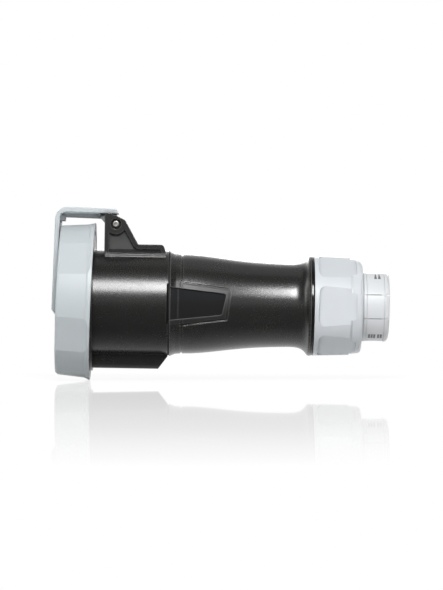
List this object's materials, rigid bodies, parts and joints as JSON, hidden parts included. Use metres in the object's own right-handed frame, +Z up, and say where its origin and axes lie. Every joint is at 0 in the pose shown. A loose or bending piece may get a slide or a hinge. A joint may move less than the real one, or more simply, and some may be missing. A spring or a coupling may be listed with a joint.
{
  "type": "pin-and-sleeve power connector",
  "caption": "Watertight pin-and-sleeve cable connector with sleeve contacts, a hinged lid with a bayonet ring, a waisted handle and a cable gland with clamp jaws.",
  "frame": {"origin": "centre of the mouth's rim plane, on the body's axis", "axes": "+X along the body from the mouth to the cord's end, +Z up through the lid's hinge"},
  "size_m": [0.2718, 0.1272, 0.1394],
  "materials": {
    "black_shell": "satin moulded",
    "gloss_black": "glossy",
    "seal_rubber": "matte",
    "insert_plastic": "satin moulded",
    "grey_plastic": "satin moulded",
    "pale_plastic": "satin moulded",
    "contact_metal": "machined",
    "steel": "plated"
  },
  "bodies": {
    "housing": {"front_housing": "black_shell", "contact_carrier": "insert_plastic", "carrier_rear": "insert_plastic", "carrier_screws": "steel", "line_sleeve_left": "contact_metal", "line_sleeve_right": "contact_metal", "earth_sleeve": "contact_metal", "pilot_sleeve": "contact_metal", "terminal_screws": "steel", "housing_gasket": "seal_rubber", "rear_housing": "black_shell", "gland_gasket": "gloss_black", "grommet": "seal_rubber", "hinge_screw": "steel", "hinge_nut": "steel"},
    "lid": {"lid": "grey_plastic", "lid_gasket": "seal_rubber"},
    "ring": {"bayonet_ring": "grey_plastic", "ring_retainer": "steel"},
    "clamp": {"clamp_body": "pale_plastic", "slip_washer": "pale_plastic"},
    "nut": {"gland_nut": "grey_plastic"},
    "upper_jaw": {"clamp_jaw_upper": "pale_plastic"},
    "lower_jaw": {"clamp_jaw_lower": "pale_plastic"}
  },
  "joints": [
    {"name": "lid_hinge", "type": "hinge", "parent": "housing", "child": "lid", "pos_m": [0.0352, 0, 0.0631], "axis": [0, 1, 0], "range_deg": [-1.4, 110]},
    {"name": "ring_turn", "type": "hinge", "parent": "lid", "child": "ring", "pos_m": [-0.00153, 0, 0.00088], "axis": [0.9997, 0, -0.0244], "range_deg": [0, 30]},
    {"name": "gland_slide", "type": "slide", "parent": "housing", "child": "clamp", "axis": [1, 0, 0], "range_m": [0, 0.0061]},
    {"name": "nut_turn", "type": "hinge", "parent": "clamp", "child": "nut", "pos_m": [0.215, 0, 0], "axis": [1, 0, 0], "range_deg": [0, 720]},
    {"name": "upper_jaw_slide", "type": "slide", "parent": "clamp", "child": "upper_jaw", "axis": [0, 0, 1], "range_m": [0, 0.003]},
    {"name": "lower_jaw_slide", "type": "slide", "parent": "clamp", "child": "lower_jaw", "axis": [0, 0, -1], "range_m": [0, 0.003]}
  ],
  "couplings": [
    {"joint": "gland_slide", "follows": "nut_turn", "m_per_rad": 0.00047746},
    {"joint": "lower_jaw_slide", "follows": "upper_jaw_slide", "ratio": 1}
  ]
}
